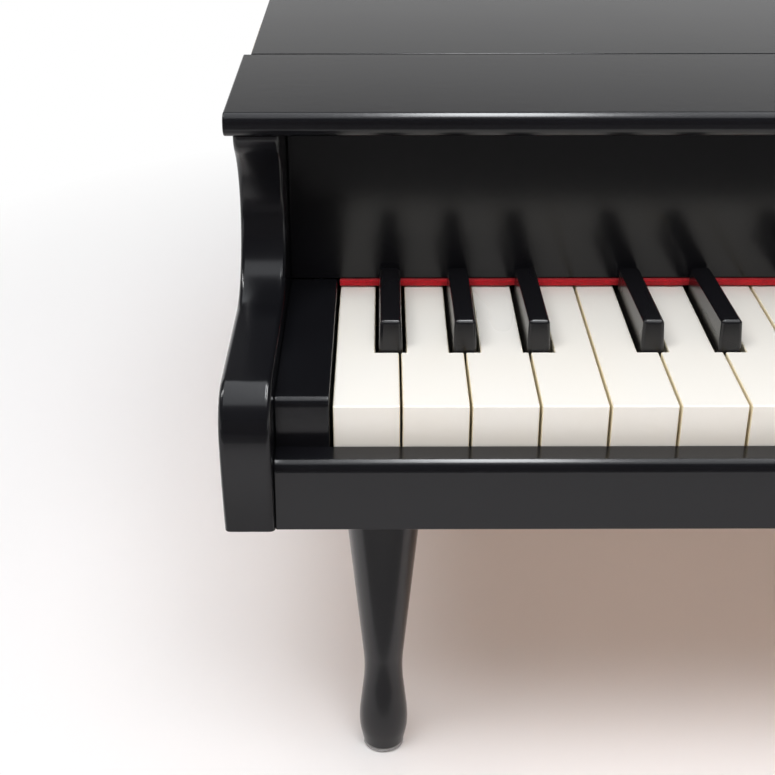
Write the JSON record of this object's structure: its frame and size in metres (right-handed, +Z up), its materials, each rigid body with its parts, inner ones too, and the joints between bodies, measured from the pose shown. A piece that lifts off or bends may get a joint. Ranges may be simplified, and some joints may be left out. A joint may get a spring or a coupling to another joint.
{
  "type": "toy grand piano",
  "caption": "Toy grand piano in gloss black with a short working keyboard, hammers that strike aluminium tubes, a propped lid and turned legs.",
  "frame": {"origin": "on the floor under the middle of the closed piano's outer box", "axes": "+X to the treble side, +Y from the keyboard to the tail, +Z up; the player faces +Y"},
  "size_m": [0.4251, 0.45, 0.205],
  "materials": {
    "black_lacquer": "glossy black lacquer on wood board",
    "red_felt": "red felt",
    "brass": "brass plate",
    "bare_wood": "bare planed wood",
    "zinc_steel": "zinc plated steel",
    "grey_felt": "grey felt",
    "grey_plastic": "moulded plastic",
    "aluminium": "drawn aluminium tube",
    "white_key": "polished white plastic",
    "black_key": "satin black plastic"
  },
  "bodies": {
    "case": {"action_felts": "grey_felt", "bent_rim": "black_lacquer", "bottom_board": "black_lacquer", "fallboard": "black_lacquer", "foot_pads": "grey_felt", "front_top_board": "black_lacquer", "hinge_case_leaves": "brass", "key_blocks": "black_lacquer", "key_guide_rail": "grey_plastic", "key_rails": "bare_wood", "key_rod": "zinc_steel", "key_slip": "black_lacquer", "leg_front_left": "black_lacquer", "leg_front_right": "black_lacquer", "leg_rear": "black_lacquer", "leg_sockets": "zinc_steel", "nameboard_felt": "red_felt", "prop_seat": "bare_wood", "spine_side": "black_lacquer", "tone_tubes": "aluminium", "treble_side": "black_lacquer", "tube_rails": "bare_wood", "tube_strips": "grey_plastic"},
    "lid": {"lid": "black_lacquer", "hinge_lid_leaves": "brass", "prop_bracket": "brass"},
    "prop": {"lid_prop": "black_lacquer"},
    "key_01_f_lever": {"key_01_f": "white_key"},
    "key_02_f_sharp_lever": {"key_02_f_sharp": "black_key"},
    "key_03_g_lever": {"key_03_g": "white_key"},
    "key_04_g_sharp_lever": {"key_04_g_sharp": "black_key"},
    "key_05_a_lever": {"key_05_a": "white_key"},
    "key_06_a_sharp_lever": {"key_06_a_sharp": "black_key"},
    "key_07_b_lever": {"key_07_b": "white_key"},
    "key_08_c_lever": {"key_08_c": "white_key"},
    "key_09_c_sharp_lever": {"key_09_c_sharp": "black_key"},
    "key_10_d_lever": {"key_10_d": "white_key"},
    "key_11_d_sharp_lever": {"key_11_d_sharp": "black_key"},
    "key_12_e_lever": {"key_12_e": "white_key"},
    "key_13_f_lever": {"key_13_f": "white_key"},
    "key_14_f_sharp_lever": {"key_14_f_sharp": "black_key"},
    "key_15_g_lever": {"key_15_g": "white_key"},
    "key_16_g_sharp_lever": {"key_16_g_sharp": "black_key"},
    "key_17_a_lever": {"key_17_a": "white_key"},
    "key_18_a_sharp_lever": {"key_18_a_sharp": "black_key"},
    "key_19_b_lever": {"key_19_b": "white_key"},
    "key_20_c_lever": {"key_20_c": "white_key"},
    "key_21_c_sharp_lever": {"key_21_c_sharp": "black_key"},
    "key_22_d_lever": {"key_22_d": "white_key"},
    "key_23_d_sharp_lever": {"key_23_d_sharp": "black_key"},
    "key_24_e_lever": {"key_24_e": "white_key"},
    "key_25_f_lever": {"key_25_f": "white_key"},
    "key_26_f_sharp_lever": {"key_26_f_sharp": "black_key"},
    "key_27_g_lever": {"key_27_g": "white_key"},
    "key_28_g_sharp_lever": {"key_28_g_sharp": "black_key"},
    "key_29_a_lever": {"key_29_a": "white_key"},
    "key_30_a_sharp_lever": {"key_30_a_sharp": "black_key"},
    "key_31_b_lever": {"key_31_b": "white_key"},
    "key_32_c_lever": {"key_32_c": "white_key"}
  },
  "joints": [
    {"name": "lid_open", "type": "hinge", "parent": "case", "child": "lid", "pos_m": [-0.2105, 0.06949, 0.198], "axis": [0, -1, 0], "range_deg": [0, 24]},
    {"name": "prop_swing", "type": "hinge", "parent": "lid", "child": "prop", "pos_m": [0.1885, -0.07153, 0.192], "axis": [0, -1, 0], "range_deg": [0, 61]},
    {"name": "key_01_f_press", "type": "hinge", "parent": "case", "child": "key_01_f_lever", "pos_m": [-0.17448, -0.0989, 0.1298], "axis": [1, 0, 0], "range_deg": [0, 3.84], "stiffness_Nm_per_rad": 0.2, "springref_deg": -11.46},
    {"name": "key_02_f_sharp_press", "type": "hinge", "parent": "case", "child": "key_02_f_sharp_lever", "pos_m": [-0.16421, -0.0989, 0.1298], "axis": [1, 0, 0], "range_deg": [0, 3.84], "stiffness_Nm_per_rad": 0.2, "springref_deg": -11.46},
    {"name": "key_03_g_press", "type": "hinge", "parent": "case", "child": "key_03_g_lever", "pos_m": [-0.15336, -0.0989, 0.1298], "axis": [1, 0, 0], "range_deg": [0, 3.84], "stiffness_Nm_per_rad": 0.2, "springref_deg": -11.46},
    {"name": "key_04_g_sharp_press", "type": "hinge", "parent": "case", "child": "key_04_g_sharp_lever", "pos_m": [-0.1425, -0.0989, 0.1298], "axis": [1, 0, 0], "range_deg": [0, 3.84], "stiffness_Nm_per_rad": 0.2, "springref_deg": -11.46},
    {"name": "key_05_a_press", "type": "hinge", "parent": "case", "child": "key_05_a_lever", "pos_m": [-0.13164, -0.0989, 0.1298], "axis": [1, 0, 0], "range_deg": [0, 3.84], "stiffness_Nm_per_rad": 0.2, "springref_deg": -11.46},
    {"name": "key_06_a_sharp_press", "type": "hinge", "parent": "case", "child": "key_06_a_sharp_lever", "pos_m": [-0.12079, -0.0989, 0.1298], "axis": [1, 0, 0], "range_deg": [0, 3.84], "stiffness_Nm_per_rad": 0.2, "springref_deg": -11.46},
    {"name": "key_07_b_press", "type": "hinge", "parent": "case", "child": "key_07_b_lever", "pos_m": [-0.11052, -0.0989, 0.1298], "axis": [1, 0, 0], "range_deg": [0, 3.84], "stiffness_Nm_per_rad": 0.2, "springref_deg": -11.46},
    {"name": "key_08_c_press", "type": "hinge", "parent": "case", "child": "key_08_c_lever", "pos_m": [-0.09807, -0.0989, 0.1298], "axis": [1, 0, 0], "range_deg": [0, 3.84], "stiffness_Nm_per_rad": 0.2, "springref_deg": -11.46},
    {"name": "key_09_c_sharp_press", "type": "hinge", "parent": "case", "child": "key_09_c_sharp_lever", "pos_m": [-0.0874, -0.0989, 0.1298], "axis": [1, 0, 0], "range_deg": [0, 3.84], "stiffness_Nm_per_rad": 0.2, "springref_deg": -11.46},
    {"name": "key_10_d_press", "type": "hinge", "parent": "case", "child": "key_10_d_lever", "pos_m": [-0.076, -0.0989, 0.1298], "axis": [1, 0, 0], "range_deg": [0, 3.84], "stiffness_Nm_per_rad": 0.2, "springref_deg": -11.46},
    {"name": "key_11_d_sharp_press", "type": "hinge", "parent": "case", "child": "key_11_d_sharp_lever", "pos_m": [-0.0646, -0.0989, 0.1298], "axis": [1, 0, 0], "range_deg": [0, 3.84], "stiffness_Nm_per_rad": 0.2, "springref_deg": -11.46},
    {"name": "key_12_e_press", "type": "hinge", "parent": "case", "child": "key_12_e_lever", "pos_m": [-0.05393, -0.0989, 0.1298], "axis": [1, 0, 0], "range_deg": [0, 3.84], "stiffness_Nm_per_rad": 0.2, "springref_deg": -11.46},
    {"name": "key_13_f_press", "type": "hinge", "parent": "case", "child": "key_13_f_lever", "pos_m": [-0.04148, -0.0989, 0.1298], "axis": [1, 0, 0], "range_deg": [0, 3.84], "stiffness_Nm_per_rad": 0.2, "springref_deg": -11.46},
    {"name": "key_14_f_sharp_press", "type": "hinge", "parent": "case", "child": "key_14_f_sharp_lever", "pos_m": [-0.03121, -0.0989, 0.1298], "axis": [1, 0, 0], "range_deg": [0, 3.84], "stiffness_Nm_per_rad": 0.2, "springref_deg": -11.46},
    {"name": "key_15_g_press", "type": "hinge", "parent": "case", "child": "key_15_g_lever", "pos_m": [-0.02036, -0.0989, 0.1298], "axis": [1, 0, 0], "range_deg": [0, 3.84], "stiffness_Nm_per_rad": 0.2, "springref_deg": -11.46},
    {"name": "key_16_g_sharp_press", "type": "hinge", "parent": "case", "child": "key_16_g_sharp_lever", "pos_m": [-0.0095, -0.0989, 0.1298], "axis": [1, 0, 0], "range_deg": [0, 3.84], "stiffness_Nm_per_rad": 0.2, "springref_deg": -11.46},
    {"name": "key_17_a_press", "type": "hinge", "parent": "case", "child": "key_17_a_lever", "pos_m": [0.00136, -0.0989, 0.1298], "axis": [1, 0, 0], "range_deg": [0, 3.84], "stiffness_Nm_per_rad": 0.2, "springref_deg": -11.46},
    {"name": "key_18_a_sharp_press", "type": "hinge", "parent": "case", "child": "key_18_a_sharp_lever", "pos_m": [0.01221, -0.0989, 0.1298], "axis": [1, 0, 0], "range_deg": [0, 3.84], "stiffness_Nm_per_rad": 0.2, "springref_deg": -11.46},
    {"name": "key_19_b_press", "type": "hinge", "parent": "case", "child": "key_19_b_lever", "pos_m": [0.02248, -0.0989, 0.1298], "axis": [1, 0, 0], "range_deg": [0, 3.84], "stiffness_Nm_per_rad": 0.2, "springref_deg": -11.46},
    {"name": "key_20_c_press", "type": "hinge", "parent": "case", "child": "key_20_c_lever", "pos_m": [0.03492, -0.0989, 0.1298], "axis": [1, 0, 0], "range_deg": [0, 3.84], "stiffness_Nm_per_rad": 0.2, "springref_deg": -11.46},
    {"name": "key_21_c_sharp_press", "type": "hinge", "parent": "case", "child": "key_21_c_sharp_lever", "pos_m": [0.0456, -0.0989, 0.1298], "axis": [1, 0, 0], "range_deg": [0, 3.84], "stiffness_Nm_per_rad": 0.2, "springref_deg": -11.46},
    {"name": "key_22_d_press", "type": "hinge", "parent": "case", "child": "key_22_d_lever", "pos_m": [0.057, -0.0989, 0.1298], "axis": [1, 0, 0], "range_deg": [0, 3.84], "stiffness_Nm_per_rad": 0.2, "springref_deg": -11.46},
    {"name": "key_23_d_sharp_press", "type": "hinge", "parent": "case", "child": "key_23_d_sharp_lever", "pos_m": [0.0684, -0.0989, 0.1298], "axis": [1, 0, 0], "range_deg": [0, 3.84], "stiffness_Nm_per_rad": 0.2, "springref_deg": -11.46},
    {"name": "key_24_e_press", "type": "hinge", "parent": "case", "child": "key_24_e_lever", "pos_m": [0.07908, -0.0989, 0.1298], "axis": [1, 0, 0], "range_deg": [0, 3.84], "stiffness_Nm_per_rad": 0.2, "springref_deg": -11.46},
    {"name": "key_25_f_press", "type": "hinge", "parent": "case", "child": "key_25_f_lever", "pos_m": [0.09152, -0.0989, 0.1298], "axis": [1, 0, 0], "range_deg": [0, 3.84], "stiffness_Nm_per_rad": 0.2, "springref_deg": -11.46},
    {"name": "key_26_f_sharp_press", "type": "hinge", "parent": "case", "child": "key_26_f_sharp_lever", "pos_m": [0.10179, -0.0989, 0.1298], "axis": [1, 0, 0], "range_deg": [0, 3.84], "stiffness_Nm_per_rad": 0.2, "springref_deg": -11.46},
    {"name": "key_27_g_press", "type": "hinge", "parent": "case", "child": "key_27_g_lever", "pos_m": [0.11264, -0.0989, 0.1298], "axis": [1, 0, 0], "range_deg": [0, 3.84], "stiffness_Nm_per_rad": 0.2, "springref_deg": -11.46},
    {"name": "key_28_g_sharp_press", "type": "hinge", "parent": "case", "child": "key_28_g_sharp_lever", "pos_m": [0.1235, -0.0989, 0.1298], "axis": [1, 0, 0], "range_deg": [0, 3.84], "stiffness_Nm_per_rad": 0.2, "springref_deg": -11.46},
    {"name": "key_29_a_press", "type": "hinge", "parent": "case", "child": "key_29_a_lever", "pos_m": [0.13436, -0.0989, 0.1298], "axis": [1, 0, 0], "range_deg": [0, 3.84], "stiffness_Nm_per_rad": 0.2, "springref_deg": -11.46},
    {"name": "key_30_a_sharp_press", "type": "hinge", "parent": "case", "child": "key_30_a_sharp_lever", "pos_m": [0.14521, -0.0989, 0.1298], "axis": [1, 0, 0], "range_deg": [0, 3.84], "stiffness_Nm_per_rad": 0.2, "springref_deg": -11.46},
    {"name": "key_31_b_press", "type": "hinge", "parent": "case", "child": "key_31_b_lever", "pos_m": [0.15548, -0.0989, 0.1298], "axis": [1, 0, 0], "range_deg": [0, 3.84], "stiffness_Nm_per_rad": 0.2, "springref_deg": -11.46},
    {"name": "key_32_c_press", "type": "hinge", "parent": "case", "child": "key_32_c_lever", "pos_m": [0.171, -0.0989, 0.1298], "axis": [1, 0, 0], "range_deg": [0, 3.84], "stiffness_Nm_per_rad": 0.2, "springref_deg": -11.46}
  ],
  "couplings": [
    {"joint": "prop_swing", "follows": "lid_open", "ratio": 2.5416}
  ]
}
